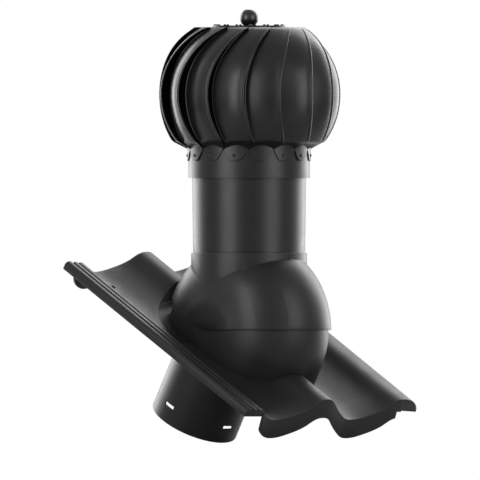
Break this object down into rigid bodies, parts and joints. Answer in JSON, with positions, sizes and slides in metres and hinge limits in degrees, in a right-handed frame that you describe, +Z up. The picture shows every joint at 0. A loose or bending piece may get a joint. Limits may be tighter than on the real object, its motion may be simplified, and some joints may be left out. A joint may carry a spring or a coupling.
{
  "type": "roof turbine ventilator",
  "caption": "Wind-driven bladed ball on a round riser, in a domed cowl that tilts on a tile-shaped roof plate with a duct spigot below.",
  "frame": {"origin": "centre of the duct spigot's open mouth", "axes": "+Z up along the turbine's axle at rest, +X across the roof with the eaves behind the viewer, +Y uphill"},
  "size_m": [0.3355, 0.3835, 0.6067],
  "materials": {
    "tile_plastic": "satin moulded, fine grain",
    "cowl_plastic": "satin moulded",
    "spigot_plastic": "satin moulded",
    "seal_rubber": "matt",
    "painted_sheet": "satin powder coat",
    "blade_sheet": "satin powder coat",
    "painted_rivet": "satin",
    "knob_plastic": "semi-gloss",
    "zinc_steel": "zinc plated",
    "plain_steel": "turned",
    "bearing_steel": "ground"
  },
  "bodies": {
    "flashing": {"flashing": "tile_plastic", "base_drum": "tile_plastic", "duct_spigot": "spigot_plastic", "spigot_seal": "seal_rubber"},
    "cowl": {"cowl": "cowl_plastic", "riser_pipe": "painted_sheet", "axle_bracket": "zinc_steel", "bracket_rivets": "plain_steel", "axle": "plain_steel", "lower_nut": "plain_steel", "upper_nut": "plain_steel", "top_nut": "plain_steel", "axle_spacer": "plain_steel", "lower_inner_race": "bearing_steel", "upper_inner_race": "bearing_steel"},
    "rotor": {"rotor_collar": "painted_sheet", "blade_01": "blade_sheet", "blade_02": "blade_sheet", "blade_03": "blade_sheet", "blade_04": "blade_sheet", "blade_05": "blade_sheet", "blade_06": "blade_sheet", "blade_07": "blade_sheet", "blade_08": "blade_sheet", "blade_09": "blade_sheet", "blade_10": "blade_sheet", "blade_11": "blade_sheet", "blade_12": "blade_sheet", "blade_13": "blade_sheet", "blade_14": "blade_sheet", "blade_15": "blade_sheet", "collar_rivets": "painted_rivet", "top_plate": "painted_sheet", "crown_disc": "painted_sheet", "crown_rivets": "painted_rivet", "finial_knob": "knob_plastic", "bearing_housing": "zinc_steel", "circlip": "plain_steel", "lower_outer_race": "bearing_steel", "upper_outer_race": "bearing_steel", "lower_balls": "bearing_steel", "upper_balls": "bearing_steel"}
  },
  "joints": [
    {"name": "pitch_tilt", "type": "hinge", "parent": "flashing", "child": "cowl", "pos_m": [0, -0.1081, 0.12684], "axis": [1, 0, 0], "range_deg": [-10, 20]},
    {"name": "turbine_spin", "type": "hinge", "parent": "cowl", "child": "rotor", "pos_m": [0, -0.1081, 0.45684], "axis": [0, 0, 1], "continuous": true}
  ]
}
